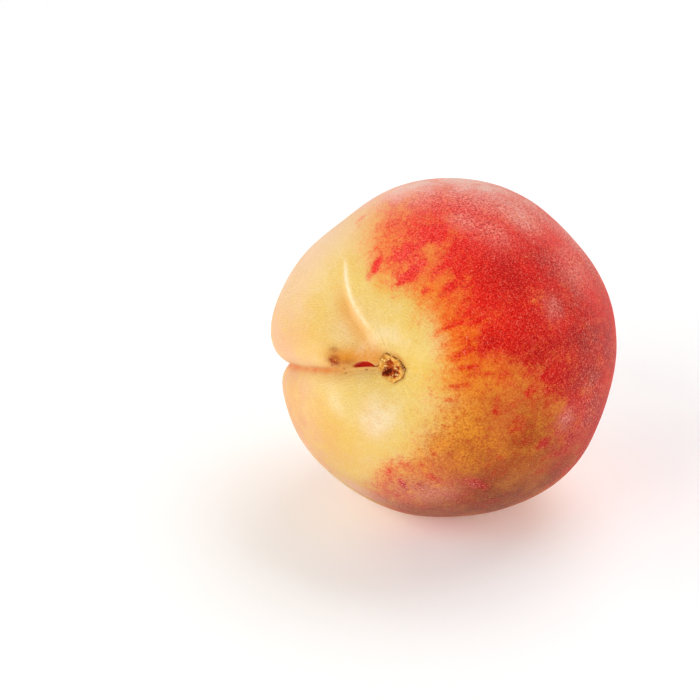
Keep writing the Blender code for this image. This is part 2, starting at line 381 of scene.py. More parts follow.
# Orange gaps between the streaks: the same numbers
GAPS = (
    (-125, 22.6, 0.7, 2.4, 0.0, 0.4),
    (-113, 20.6, 0.7, 2.8, 0.12, 0.5),
    (-112, 28.8, 0.9, 2.2, 0.5, 0.2),
    (-114, 33.6, 0.8, 1.4, 0.2, 0.2),
    (-92, 23.0, 0.6, 3.0, 0.2, 0.15),
    (-160, 36.0, 1.4, 2.4, 0.2, 0.2),
    (-127, 46.5, 2.4, 2.8, 0.0, 0.2),
)
# Soft areas: azimuth, distance, radius across and along in mm, strength
DEEP = ((-145, 33, 8.0, 7.0, 1.0), (-178, 32, 4.5, 7.0, 1.0), (-168, 22.5, 2.4, 3.6, 0.7), (170, 38, 4.0, 5.0, 0.6), (116, 33, 1.6, 3.0, 0.6), (-165, 33, 6.0, 7.0, 0.6))
WINE = ((92, 28.5, 9.0, 4.2, 0.85), (180, 55, 8.0, 9.0, 0.8), (-176, 46, 7.0, 8.0, 1.0), (-162, 43, 7.0, 6.0, 0.8), (160, 50, 8.0, 8.0, 0.8), (-148, 43, 6.0, 4.0, 0.85), (-160, 58, 8.0, 6.0, 0.6), (170, 46, 6.0, 8.0, 0.9), (98, 38, 10.0, 7.0, 1.0), (78, 37, 7.0, 5.0, 1.0), (120, 46, 8.0, 8.0, 0.8), (116, 32, 3.0, 5.0, 0.9), (148, 44, 6.0, 6.0, 0.7))
# Pale pink bloom of the down; the strong patches along the top rim are painted sheen
BLOOM_AND_RIM_SHEEN = ((-126, 38, 5.0, 4.0, 0.35), (-118, 56, 12.0, 7.0, 0.9), (-127, 48, 6.0, 4.5, 0.9), (-152, 50, 6.0, 5.0, 0.45), (-104, 54, 15.0, 9.0, 1.5), (-86, 50, 9.0, 9.0, 1.6), (-94, 60, 15.0, 10.0, 1.7), (-134, 56, 9.0, 6.0, 0.45), (-75, 52, 9.0, 8.0, 1.2), (97, 31.5, 6.5, 3.0, 0.35), (156, 41.0, 2.6, 2.2, 0.45), (-115, 37, 4.0, 2.6, 0.4), (-163, 38, 3.0, 2.4, 0.3), (-140, 60, 10.0, 7.0, 0.6), (62, 37, 5.0, 3.4, 0.9))
PINKNESS = ((-100, 24, 10.0, 12.0, 1.0), (-110, 42, 14.0, 10.0, 0.8), (88, 28, 9.0, 6.0, 1.0), (75, 34, 6.0, 5.0, 1.0), (160, 48, 9.0, 6.0, 0.7), (-120, 58, 20.0, 10.0, 0.7))
VIVID = ((-155, 18, 22.0, 12.0, 1.0), (175, 20, 8.0, 12.0, 0.8))
AMBER = ((130, 24, 14.0, 13.0, 1.0), (145, 34, 12.0, 12.0, 1.0), (112, 36, 10.0, 12.0, 0.8), (120, 52, 16.0, 14.0, 0.7))
# Brown patches, the fruit's own colour; on the underside made darker as painted shade
BROWN_AND_SHADE = ((112, 44, 14.0, 12.0, 1.0), (118, 34, 7.0, 7.0, 0.8), (90, 43, 12.0, 9.0, 1.0), (126, 35, 9.0, 10.0, 0.6), (150, 33, 9.0, 9.0, 0.45), (137, 48, 10.0, 10.0, 0.9), (142, 59, 12.0, 9.0, 0.9), (155, 26, 5.0, 5.0, 0.35))
# Where the brown turns darkest: the fruit's own brown darkened as painted shade on the underside
LOW_BROWN_AND_SHADE = ((100, 46, 22.0, 11.0, 1.0), (80, 46, 12.0, 8.0, 1.0), (120, 42, 8.0, 12.0, 1.0), (140, 52, 9.0, 8.0, 0.7), (138, 60, 12.0, 8.0, 0.7))
# Painted shade on the underside and the far right side
UNDERSIDE_SHADE = ((134, 49, 9.0, 6.0, 1.4), (98, 41, 24.0, 10.5, 1.25), (64, 36, 8.0, 6.0, 0.4), (122, 36, 7.0, 8.0, 0.7), (142, 56, 14.0, 12.0, 0.9), (150, 42, 8.0, 8.0, 0.35), (-178, 32, 7.0, 8.0, 0.4), (180, 48, 9.0, 12.0, 0.45))
MAUVES = ((96, 24, 9.0, 5.0, 0.6), (82, 32, 10.0, 6.0, 1.0), (68, 37, 8.0, 5.0, 0.9), (97, 31, 8.0, 5.0, 0.7))
ROSY = ((22, 33, 12.0, 9.0, 1.0), (42, 36, 9.0, 6.0, 0.8), (38, 26, 10.0, 6.0, 0.5), (20, 62, 16.0, 12.0, 0.8), (-35, 66, 10.0, 10.0, 0.6), (60, 60, 10.0, 12.0, 0.7), (-68, 70, 8.0, 14.0, 0.6), (-10, 32, 4.0, 8.0, 0.5), (-45, 48, 14.0, 8.0, 0.7))
DAPPLED = ((-142, 19, 18.0, 6.0, 0.95), (-112, 29, 7.0, 9.0, 1.0), (-88, 27, 6.0, 7.0, 0.8), (155, 26, 14.0, 12.0, 1.0), (128, 28, 9.0, 9.0, 0.8), (178, 22, 9.0, 8.0, 0.9), (-95, 34, 10.0, 12.0, 0.6))
# Pale peach skin; on the left rim and beside the stem it is painted rim light and highlight
CREAM_AND_RIM_LIGHT = ((-52, 42, 13.0, 12.0, 1.0), (-34, 42, 7.0, 9.0, 0.8), (-48, 14, 6.0, 5.0, 0.5), (69, 12, 3.6, 4.0, 0.8))
TAN_AREAS = ((2, 14, 2.6, 7.0, 0.75), (34, 22, 10.0, 7.0, 0.5), (-30, 8, 2.4, 2.2, 0.9), (18, 27, 8.0, 6.0, 0.25), (-18, 24, 4.0, 9.0, 0.5), (14, 31, 5.0, 6.0, 0.6))
FLUSH = ((-98, 25, 9.0, 8.0, 1.0), (-112, 28, 5.0, 5.0, 0.7), (-142, 21.5, 4.0, 3.5, 0.7), (150, 27, 5.0, 3.0, 0.4))
# Painted highlights: soft whitish spots on the lips round the hollow
PAINTED_HIGHLIGHTS = ((78, 9.6, 4.0, 2.8, 0.8), (70, 12.5, 3.2, 3.0, 0.7), (24, 15, 3.6, 1.8, 0.45), (-38, 8.2, 2.6, 1.3, 0.5), (62, 12.5, 2.6, 1.6, 0.6), (-82, 7.4, 6.0, 2.4, 0.6), (-62, 8.0, 2.6, 2.0, 0.5))


def round_table(table, degrees):
    at, value = zip(*table)
    return np.interp(degrees, at, value)


def off_centre(around, down):
    """Distances in mm across and along from a place on the skin."""
    turned = (degrees - around + 180.0) % 360.0 - 180.0
    return np.radians(turned) * ARC_RADIUS * np.sin(polar), from_stem - down


def streaks(table):
    total = np.zeros(count)
    for around, down, wide, long, lean, strength in table:
        aside, along = off_centre(around, down)
        aside = aside + lean * along + wobble * 0.45
        shape = bell(aside / (1.6 * wide)) * np.exp(-np.abs(along / (1.1 * long)) ** 3)
        total = np.maximum(total, strength * shape)
    return total


def areas(table):
    total = np.zeros(count)
    for around, down, wide, long, strength in table:
        aside, along = off_centre(around, down)
        total = np.maximum(total, strength * bell(np.hypot(aside / wide, along / long)))
    return total


degrees = np.degrees(azimuth)
fan = np.stack([np.cos(azimuth) * 7.5, np.sin(azimuth) * 7.5, from_stem * 0.11], 1)
wobble = soft_noise(fan, 1.0, 5.0)
torn = soft_noise(fan, 0.62, 9.0) + 0.35 * soft_noise(fan, 0.3, 2.0)
mottle = soft_noise(local, 4.2, 6.0) + 0.6 * soft_noise(local, 2.0, 3.0)
wash = from_stem - round_table(WASH_STARTS, degrees) + 0.7 * torn + 1.2 * mottle
wash = ramp(wash / round_table(WASH_SPREAD, degrees), -5.5, 7.0)
wash = wash * round_table(WASH_DEPTH, degrees)
to_tip = np.pi * ARC_RADIUS - from_stem + 2.5 * mottle
round_tip = 1 - ramp(to_tip, 1.0, 24.0)
wash = wash + (0.42 + 0.12 * mottle - wash) * round_tip
red = from_stem - round_table(RED_STARTS, degrees) + 2.4 * torn + 2.4 * mottle
red = ramp(red / round_table(RED_SPREAD, degrees), -1.15, 1.05)
red = red * round_table(RED_DEPTH, degrees)
red = red * (1 - round_tip)
red = red - streaks(GAPS) * ramp(red, 0.0, 0.6) + 0.12 * mottle * ramp(red, 0.02, 0.3)
red = np.maximum(red, streaks(STREAKS) + 0.05 * mottle * (streaks(STREAKS) > 0.1))
across = ARC_RADIUS * np.arcsin(np.clip(np.abs(facing[:, 1]), 0, 1))
suture = bell((across + 0.25 * wobble) / 0.8) * ramp(facing[:, 0] * ARC_RADIUS, 11.0, 17.0)
beside, along_fold = beside_curve(p, q, FOLD_LINE)
on_top = facing[:, 2] > 0
fold_ends = 1.15 * ramp(along_fold, 0.045, 0.11) * (1 - ramp(along_fold, 0.58, 0.92))
put_numbers(skin_mesh, "wash", wash)
put_numbers(skin_mesh, "red", red)
put_numbers(skin_mesh, "deep", areas(DEEP))
put_numbers(skin_mesh, "wine", areas(WINE))
put_numbers(skin_mesh, "bloom_and_rim_sheen", areas(BLOOM_AND_RIM_SHEEN))
put_numbers(skin_mesh, "pinkness", areas(PINKNESS))
put_numbers(skin_mesh, "vivid", areas(VIVID))
put_numbers(skin_mesh, "flush", areas(FLUSH))
put_numbers(skin_mesh, "amber", areas(AMBER))
put_numbers(skin_mesh, "brown_and_shade", areas(BROWN_AND_SHADE))
put_numbers(skin_mesh, "rosy", areas(ROSY))
put_numbers(skin_mesh, "low", areas(LOW_BROWN_AND_SHADE))
put_numbers(skin_mesh, "underside_shade", areas(UNDERSIDE_SHADE))
put_numbers(skin_mesh, "cream_and_rim_light", areas(CREAM_AND_RIM_LIGHT))
put_numbers(skin_mesh, "tan", np.maximum(areas(TAN_AREAS), 0.45 * ramp(from_stem + 4 * mottle, 45.0, 85.0)))
put_numbers(skin_mesh, "mauve", areas(MAUVES))
put_numbers(skin_mesh, "dappled", areas(DAPPLED))
# painted highlight: the soft spots and a pale line along the fold's ridge
put_numbers(skin_mesh, "painted_highlight", np.maximum(areas(PAINTED_HIGHLIGHTS), bell((beside - 0.5) / 0.65) * fold_ends * on_top))
put_numbers(skin_mesh, "suture", suture)
put_numbers(skin_mesh, "slit", slit_share(p, q, 0.14) * (facing[:, 2] > 0))
put_numbers(skin_mesh, "stub_edge", 1 - ramp(from_stem - outline, 0.1, 1.0))
# the socket round the stub: partly the scar's own brown edge, partly painted shade in the gap
put_numbers(skin_mesh, "socket", 1 - ramp(from_stem - outline, -0.12, 0.06))
# painted shade: orange in the fold's valley
valley_shade = bell((beside - 3.4) / 2.2) * ramp(along_fold, 0.12, 0.5) * on_top
put_numbers(skin_mesh, "valley_shade", valley_shade)
# painted shade under the upper lip that overhangs the slit
shade_above_slit = bell((q + 2.9) / 2.3) * ramp(p, 0.5, 4.0) * (1 - ramp(p, 11.5, 18.0))
put_numbers(skin_mesh, "shade_above_slit", shade_above_slit * on_top)
smudge = 1.25 * bell(np.hypot((p - 13.4) / 1.5, (q + 2.3) / 1.25))
smudge = np.maximum(smudge, 0.5 * bell(np.hypot((p - 10.8) / 2.6, (q + 1.7) / 1.0)))
smudge = np.maximum(smudge, 0.7 * bell(np.hypot((p - 13.0) / 0.9, (q + 4.6) / 0.7))) * on_top
for one, other, size in ((7.05, 0.15, 0.24), (12.2, -0.3, 0.22), (14.6, -1.2, 0.3), (11.6, 0.7, 0.18)):
    smudge = np.maximum(smudge, 1.2 * bell(np.hypot(p - one, q - other) / size) * on_top)
thread = bell((q + 0.55) / 0.2) * ramp(p, 2.9, 3.2) * (1 - ramp(p, 5.2, 5.7)) * on_top
smudge = np.maximum(smudge, 1.2 * thread)
put_numbers(skin_mesh, "smudge", smudge)
pale = ramp(facing[:, 0] - 0.12 * np.abs(degrees) / 90, 0.25, 0.8) * (1 - 0.6 * ramp(from_stem, 70, 95))
pale = pale * ramp(from_stem, 9.0, 22.0) * (1 - 0.7 * round_tip)
put_numbers(skin_mesh, "pale", pale)
put_vectors(skin_mesh, "place_mm", local)
put_vectors(
    skin_mesh,
    "streak_place",
    np.stack([np.cos(azimuth) * 22.0, np.sin(azimuth) * 22.0, from_stem * 0.32], 1),
)


# ---------------------------------------------------------------- materials
def srgb(red, green, blue):
    def line(value):
        value /= 255.0
        return value / 12.92 if value <= 0.04045 else ((value + 0.055) / 1.055) ** 2.4

    return (line(red), line(green), line(blue), 1.0)


class Nodes:
    """A small builder for one material's nodes."""

    def __init__(self, name):
        self.material = bpy.data.materials.new(name)
        self.material.use_nodes = True
        self.tree = self.material.node_tree
        self.surface = self.tree.nodes["Principled BSDF"]

    def add(self, kind, **settings):
        node = self.tree.nodes.new(kind)
        for name, value in settings.items():
            setattr(node, name, value)
        return node

    def join(self, source, socket):
        if isinstance(source, bpy.types.NodeSocket):
            self.tree.links.new(source, socket)
        else:
            socket.default_value = source

    def attribute(self, name, vector=False):
        node = self.add("ShaderNodeAttribute", attribute_name=name)
        return node.outputs["Vector" if vector else "Fac"]

    def math(self, operation, a, b=0.0, c=0.0, clamp=False):
        node = self.add("ShaderNodeMath", operation=operation, use_clamp=clamp)
        for socket, value in zip(node.inputs, (a, b, c)):
            self.join(value, socket)
        return node.outputs[0]

    def noise(self, place, scale, detail=2.0, rough=0.5, distortion=0.0, offset=None):
        if offset is not None:
            shift = self.add("ShaderNodeVectorMath", operation="ADD")
            self.join(place, shift.inputs[0])
            shift.inputs[1].default_value = offset
            place = shift.outputs[0]
        node = self.add("ShaderNodeTexNoise")
        self.join(place, node.inputs["Vector"])
        node.inputs["Scale"].default_value = scale
        node.inputs["Detail"].default_value = detail
        node.inputs["Roughness"].default_value = rough
        node.inputs["Distortion"].default_value = distortion
        return node.outputs["Fac"]

    def range(self, value, low, high, to_low=0.0, to_high=1.0, smooth=True):
        node = self.add(
            "ShaderNodeMapRange",
            interpolation_type="SMOOTHSTEP" if smooth else "LINEAR",
            clamp=True,
        )
        for name, number in (
            ("Value", value),
            ("From Min", low),
            ("From Max", high),
            ("To Min", to_low),
            ("To Max", to_high),
        ):
            self.join(number, node.inputs[name])
        return node.outputs[0]

    def mix(self, share, a, b, blend="MIX"):
        node = self.add("ShaderNodeMix", data_type="RGBA", blend_type=blend)
        node.clamp_factor = True
        self.join(share, node.inputs[0])
        self.join(a, node.inputs[6])
        self.join(b, node.inputs[7])
        return node.outputs[2]

    def bump(self, height, distance, strength=1.0, normal=None):
        node = self.add("ShaderNodeBump")
        node.inputs["Distance"].default_value = distance
        node.inputs["Strength"].default_value = strength
        self.join(height, node.inputs["Height"])
        if normal is not None:
            self.join(normal, node.inputs["Normal"])
        return node.outputs[0]


CREAM = srgb(250, 217, 138)
YELLOW = srgb(246, 202, 92)
PEACH = srgb(250, 196, 150)
PALE_PEACH_RIM_LIGHT = srgb(253, 210, 166)
TAN = srgb(238, 174, 84)
ROSE = srgb(243, 168, 120)
LIGHT_ORANGE = srgb(250, 158, 74)
VIVID_ORANGE = srgb(255, 128, 18)
AMBER_LIGHT = srgb(246, 162, 38)
AMBER_DARK = srgb(186, 74, 16)
BRICK = srgb(196, 44, 12)
BROWN_RED = srgb(172, 58, 20)
DULL_BROWN_SHADE = srgb(98, 36, 20)
MAUVE = srgb(210, 112, 92)
ORANGE_RED = srgb(255, 70, 14)
RED = srgb(250, 14, 6)
PINK_RED = srgb(255, 48, 46)
DEEP_RED = srgb(212, 0, 4)
WINE_RED = srgb(172, 24, 30)
DOWN = srgb(255, 180, 152)
DOWN_RED = srgb(255, 116, 96)
PALE_DOWN = srgb(255, 236, 190)
BLOOM_AND_SHEEN_PINK = srgb(255, 192, 178)
HIGHLIGHT_WHITE = srgb(255, 236, 196)


def skin_material():
    m = Nodes("peach_skin_look")
    place = m.attribute("place_mm", vector=True)
    streak_place = m.attribute("streak_place", vector=True)

    def even(value):
        """Noise spread out evenly from -1 to 1."""
        return m.range(value, 0.28, 0.72, -1.0, 1.0, smooth=False)

    def times(a, b):
        return m.math("MULTIPLY", a, b)

    def plus(a, b):
        return m.math("ADD", a, b)

    clouds = m.noise(place, 0.085, 4.0, 0.6)
    patches = even(m.noise(place, 0.26, 4.0, 0.6, offset=(13.0, 5.0, 7.0)))
    fine_streaks = even(m.noise(streak_place, 1.0, 3.0, 0.6, 0.4, offset=(9.0, 2.0, 4.0)))
    dots = even(m.noise(place, 0.9, 3.0, 0.6, offset=(1.0, 6.0, 2.0)))
    speckle = even(m.noise(place, 2.2, 2.0, 0.7))
    grain = even(m.noise(place, 3.4, 2.0, 0.6, offset=(3.0, 8.0, 1.0)))

    # ground colour: cream and yellow, peach pink towards the suture
    ground = m.mix(m.range(clouds, 0.28, 0.72), YELLOW, CREAM)
    pink = times(m.attribute("pale"), m.range(patches, -0.8, 0.5, 0.5, 1.0))
    ground = m.mix(pink, ground, PEACH)
    rosy = times(m.attribute("rosy"), m.range(plus(patches, plus(times(dots, 0.4), times(speckle, 0.3))), -0.8, 0.7, 0.2, 1.0))
    ground = m.mix(rosy, ground, ROSE)
    # pale peach, partly the skin's own colour and partly painted rim light and highlight
    ground = m.mix(m.attribute("cream_and_rim_light"), ground, PALE_PEACH_RIM_LIGHT)
    tan = times(m.attribute("tan"), m.range(plus(patches, times(dots, 0.5)), -0.9, 0.8, 0.45, 1.25))
    ground = m.mix(tan, ground, TAN)
    mottled = plus(times(dots, 0.55), plus(times(patches, 0.5), times(speckle, 0.25)))
    ground = m.mix(m.range(mottled, -0.1, 1.1, 0.0, 0.26), ground, srgb(255, 232, 184))
    ground = m.mix(m.range(mottled, 0.1, -1.1, 0.0, 0.26), ground, srgb(240, 184, 78))
    ground = m.mix(1.0, ground, (0.95, 0.975, 0.99, 1.0), "MULTIPLY")
    # painted shade: orange in the fold's valley
    ground = m.mix(times(m.attribute("valley_shade"), 0.75), ground, srgb(238, 168, 78))
    # painted shade: orange-brown under the lip above the slit
    ground = m.mix(times(m.attribute("shade_above_slit"), 0.95), ground, srgb(232, 146, 34))

    # the wash round the blush: light orange, vivid or amber
    wash_colour = m.mix(m.attribute("vivid"), LIGHT_ORANGE, VIVID_ORANGE)
    amber_tone = plus(plus(times(patches, 0.38), times(dots, 0.1)), plus(times(speckle, 0.35), m.attribute("brown_and_shade")))
    amber = m.mix(m.range(amber_tone, -0.5, 0.9), AMBER_LIGHT, AMBER_DARK)
    wash_colour = m.mix(m.attribute("amber"), wash_colour, amber)
    flush = times(m.attribute("flush"), m.range(plus(patches, plus(times(dots, 0.6), times(speckle, 0.4))), -1.3, 0.9, 0.25, 0.95))
    wash_colour = m.mix(flush, wash_colour, srgb(246, 104, 62))
    mauve = times(m.attribute("mauve"), m.range(plus(times(patches, 0.7), plus(times(fine_streaks, 0.7), times(dots, 0.4))), -1.0, 0.8, 0.2, 1.0))
    wash_colour = m.mix(mauve, wash_colour, MAUVE)
    wash = plus(m.attribute("wash"), plus(times(dots, 0.11), times(speckle, 0.13)))
    wash = times(m.range(wash, 0.0, 1.0), m.range(m.attribute("wash"), 0.0, 0.25))
    colour = m.mix(wash, ground, wash_colour)
    # brown patches, the fruit's own colour, darker on the underside as painted shade
    brown_and_shade = times(m.attribute("brown_and_shade"), m.range(plus(patches, times(dots, 0.6)), -1.0, 0.8, 0.58, 1.0))
    colour = m.mix(brown_and_shade, colour, m.mix(m.attribute("low"), BROWN_RED, DULL_BROWN_SHADE))

    # the red, broken into streaks, blotches and specks
    red = m.attribute("red")
    body = plus(red, plus(times(fine_streaks, 0.14), times(patches, 0.14)))
    edge = plus(body, plus(times(dots, 0.15), times(speckle, 0.19)))
    red_share = times(m.range(edge, 0.04, 0.94), m.range(red, 0.0, 0.25))
    flecks = times(m.range(plus(speckle, times(dots, 0.6)), -0.15, 1.15), times(m.attribute("wash"), plus(0.42, times(m.attribute("vivid"), 0.3))))
    dapple = m.range(plus(times(patches, 0.9), plus(times(dots, 0.5), times(speckle, 0.22))), 0.0, 1.35, 0.0, 0.85)
    flecks = m.math("MAXIMUM", flecks, times(times(dapple, m.attribute("dappled")), m.attribute("wash")))
    red_share = m.math("MAXIMUM", red_share, flecks)
    hot = m.mix(m.range(body, 0.30, 0.85), ORANGE_RED, RED)
    hot = m.mix(times(m.attribute("vivid"), 0.4), hot, srgb(255, 44, 8))
    hot = m.mix(times(m.attribute("amber"), 0.85), hot, BRICK)
    hot = m.mix(times(m.attribute("pinkness"), 0.9), hot, PINK_RED)
    deep = times(m.attribute("deep"), m.range(plus(patches, times(dots, 0.6)), -0.9, 0.5, 0.55, 1.0))
    hot = m.mix(deep, hot, DEEP_RED)
    wine = times(m.attribute("wine"), m.range(plus(patches, times(dots, 0.4)), -0.7, 0.6, 0.45, 1.0))
    hot = m.mix(wine, hot, WINE_RED)
    colour = m.mix(red_share, colour, hot)
    # the pale bloom of the down, whiter along the top rim where it is painted sheen
    bloom_and_rim_sheen = times(m.attribute("bloom_and_rim_sheen"), m.range(plus(patches, plus(times(dots, 0.5), times(speckle, 0.6))), -1.0, 1.1, 0.38, 1.0))
    rim_sheen_paler = m.range(m.attribute("bloom_and_rim_sheen"), 0.9, 1.6, 0.0, 0.7)
    colour = m.mix(times(bloom_and_rim_sheen, 0.9), colour, m.mix(rim_sheen_paler, BLOOM_AND_SHEEN_PINK, srgb(255, 222, 206)))

    # painted shade: darker on the underside and the far right side
    colour = m.mix(times(m.attribute("underside_shade"), 0.30), colour, srgb(34, 8, 8))

    # down: fine pale and dark specks, strongest on the red
    strength = plus(plus(0.26, times(wash, 0.30)), times(red_share, 0.5))
    salt = times(m.range(grain, 0.06, 1.0, 0.0, 0.66, smooth=False), strength)
    hazy = plus(m.attribute("bloom_and_rim_sheen"), plus(times(m.attribute("pinkness"), 0.3), times(m.attribute("wine"), 0.3)))
    hazy = m.range(hazy, 0.0, 0.8)
    red_down = m.mix(times(m.attribute("vivid"), 0.9), DOWN_RED, srgb(255, 106, 66))
    red_down = m.mix(hazy, red_down, DOWN)
    pale_down = m.mix(wash, PALE_DOWN, srgb(250, 176, 92))
    colour = m.mix(salt, colour, m.mix(red_share, pale_down, red_down))
    pepper = times(m.range(grain, -0.06, -1.0, 0.0, 0.80, smooth=False), strength)
    shade = m.mix(wash, srgb(226, 146, 40), m.mix(m.attribute("vivid"), m.mix(m.attribute("amber"), srgb(224, 96, 52), srgb(158, 52, 8)), srgb(220, 66, 8)))
    dark_red = m.mix(hazy, m.mix(m.attribute("deep"), srgb(182, 4, 4), srgb(134, 0, 2)), srgb(200, 46, 42))
    shade = m.mix(red_share, shade, dark_red)
    colour = m.mix(pepper, colour, shade)
    # tufts of down, coarser than the specks, where the blush is hazy
    tufted = times(m.math("MAXIMUM", red_share, times(wash, 0.5)), m.range(hazy, 0.0, 0.7, 0.18, 1.0))
    tufts = m.noise(place, 2.2, 2.0, 0.6, offset=(17.0, 11.0, 2.0))
    colour = m.mix(times(m.range(tufts, 0.51, 0.66, 0.0, 0.60), tufted), colour, m.mix(hazy, srgb(255, 140, 112), srgb(255, 196, 172)))
    dark_tufts = times(m.range(tufts, 0.49, 0.34, 0.0, 0.72), m.range(m.attribute("bloom_and_rim_sheen"), 0.4, 1.1, 1.0, 0.12))
    colour = m.mix(times(dark_tufts, tufted), colour, m.mix(hazy, dark_red, srgb(194, 38, 40)))

    # short pale hairs lying on the skin
    curl = m.noise(place, 1.15, 1.0, 0.5, 0.9, offset=(21.0, 3.0, 17.0))
    hairs = m.range(m.math("ABSOLUTE", m.math("SUBTRACT", curl, 0.5)), 0.025, 0.004)
    hairs = times(hairs, m.range(m.noise(place, 1.5, 1.0, 0.5, offset=(5.0, 31.0, 8.0)), 0.52, 0.60))
    hairs = times(hairs, m.range(red_share, 0.0, 1.0, 0.14, 0.58))
    colour = m.mix(hairs, colour, m.mix(red_share, pale_down, m.mix(hazy, srgb(255, 156, 130), DOWN)))

    # painted highlights on the fold's ridge and the lips round the hollow, then the suture, slit and the marks round
    # the stem
    painted_highlight = times(m.attribute("painted_highlight"), m.range(plus(patches, times(speckle, 0.6)), -1.0, 0.6, 0.3, 0.95))
    colour = m.mix(times(painted_highlight, 0.85), colour, HIGHLIGHT_WHITE)
    line = times(m.attribute("suture"), m.range(patches, -0.8, 0.5, 0.4, 0.85))
    colour = m.mix(line, colour, srgb(224, 122, 44))
    colour = m.mix(m.attribute("slit"), colour, srgb(222, 34, 10))
    smudge = times(m.attribute("smudge"), m.range(plus(dots, times(speckle, 0.6)), -1.1, 0.5, 0.3, 1.0))
    colour = m.mix(smudge, colour, srgb(164, 58, 20))
    colour = m.mix(times(m.attribute("stub_edge"), 0.35), colour, srgb(206, 140, 56))
    # the socket: the scar's brown edge, darkened as painted shade in the gap round the stub
    colour = m.mix(m.attribute("socket"), colour, srgb(150, 44, 8))

    m.join(colour, m.surface.inputs["Base Color"])
    m.join(m.range(grain, -1.0, 1.0, 0.48, 0.62), m.surface.inputs["Roughness"])
    m.surface.inputs["IOR"].default_value = 1.38
    m.surface.inputs["Specular IOR Level"].default_value = 0.10
    m.surface.inputs["Subsurface Weight"].default_value = 0.10
    m.surface.inputs["Subsurface Radius"].default_value = (1.0, 0.45, 0.2)
    m.surface.inputs["Subsurface Scale"].default_value = 0.001
    m.surface.inputs["Sheen Weight"].default_value = 0.26
    m.surface.inputs["Sheen Roughness"].default_value = 0.22
    m.surface.inputs["Sheen Tint"].default_value = (1.0, 0.86, 0.82, 1.0)
    fuzz = plus(grain, times(speckle, 0.5))
    m.join(m.bump(fuzz, 0.00012, 0.7), m.surface.inputs["Normal"])
    return m.material


skin_mesh.materials.append(skin_material())
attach(fruit, "root")
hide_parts("peach_fruit")


# ---------------------------------------------------------------- the stalk stub
def stub():
    rings, sides = 60, 180
    angles = np.arange(sides) / sides * 2 * np.pi
    reach = stub_reach(angles)
    # round the corners a little, then fray the edge
    for _ in range(3):
        reach = (np.roll(reach, 1) + 2 * reach + np.roll(reach, -1)) / 4
    round_edge = np.stack([np.cos(angles), np.sin(angles), np.zeros(sides)], 1)
    fray = soft_noise(round_edge, 0.32, 4.0) + 0.5 * soft_noise(round_edge, 0.12, 1.0)
    reach = reach * (0.965 + 0.035 * fray)
    share = np.repeat(np.arange(rings + 1) / rings, sides)
    far = np.tile(reach, rings + 1) * share
    x, y = far * np.tile(np.cos(angles), rings + 1), far * np.tile(np.sin(angles), rings + 1)
    flat = np.stack([x, y, np.zeros(len(x))], 1)
    ridges = 1 - 2 * np.abs(soft_noise(flat, 1.1, 2.3)) + 0.5 * (1 - 2 * np.abs(soft_noise(flat, 0.5, 5.1)))
    chips = soft_noise(flat, 0.42, 7.7) + 0.6 * soft_noise(flat, 0.2, 3.3)
    pit = bell(np.hypot(x - 0.5, y - 0.5) / 1.0) + 0.9 * bell(np.hypot(x - 1.7, y - 0.9) / 0.7)
    pit = pit + 0.7 * bell(np.hypot(x - 0.3, y + 1.3) / 0.6) + 0.6 * bell(np.hypot(x + 1.0, y - 0.9) / 0.6)
    lip = bell((share - 0.84) / 0.14)
    height = -0.6 * pit + 0.28 * lip + 0.22 * (ridges - 0.6) + 0.13 * chips
    height = height - 0.9 * ramp(share, 0.93, 1.0) ** 2
    verts = np.stack([x, y, floor_radius + STUB_PROUD - 0.15 + height], 1)
    rim = ramp(share, 0.86, 0.97) * 0.7
    rim = np.maximum(rim, 1.3 * bell(np.hypot(x - 2.1, y + 2.8) / 0.9) * ramp(share, 0.6, 0.9))
    rim = np.maximum(rim, 1.3 * bell(np.hypot(x + 3.0, y + 0.2) / 1.0) * ramp(share, 0.55, 0.85))
    return rings, sides, angles, reach, verts, height, rim


rings, sides, angles, reach, verts, relief, rim = stub()
below = []
for drop, share in ((0.45, 0.90), (0.9, 0.82), (1.4, 0.76), (1.9, 0.70)):
    for side, angle in enumerate(angles):
        far = reach[side] * share
        below.append((far * cos(angle), far * sin(angle), floor_radius + STUB_PROUD - 0.4 - drop))
verts = np.vstack([verts, below])
relief = np.concatenate([relief, np.full(len(below), -0.5)])
rim = np.concatenate([rim, np.ones(len(below))])
shape = bmesh.new()
relief_layer = shape.verts.layers.float.new("relief")
rim_layer = shape.verts.layers.float.new("rim")
made = [shape.verts.new(tuple((axes @ vert + core) * MM)) for vert in verts]
total_rings = rings + 1 + 4
for ring in range(1, total_rings - 1):
    for side in range(sides):
        after = (side + 1) % sides
        shape.faces.new(
            (
                made[ring * sides + side],
                made[(ring + 1) * sides + side],
                made[(ring + 1) * sides + after],
                made[ring * sides + after],
            )
        )
centre = made[0]
for side in range(sides):
    after = (side + 1) % sides
    shape.faces.new((centre, made[sides + side], made[sides + after]))
last = (total_rings - 1) * sides
shape.faces.new([made[last + side] for side in reversed(range(sides))])
for vert, height, edge in zip(made, relief, rim):
    vert[relief_layer] = float(height)
    vert[rim_layer] = float(edge)
bmesh.ops.delete(shape, geom=[made[side] for side in range(1, sides)], context="VERTS")
bmesh.ops.recalc_face_normals(shape, faces=shape.faces)
stub_mesh = bpy.data.meshes.new("stem_stub_mesh")
shape.to_mesh(stub_mesh)
shape.free()
stub_mesh.shade_smooth()
stub_object = bpy.data.objects.new("woody_stub", stub_mesh)
bpy.context.scene.collection.objects.link(stub_object)


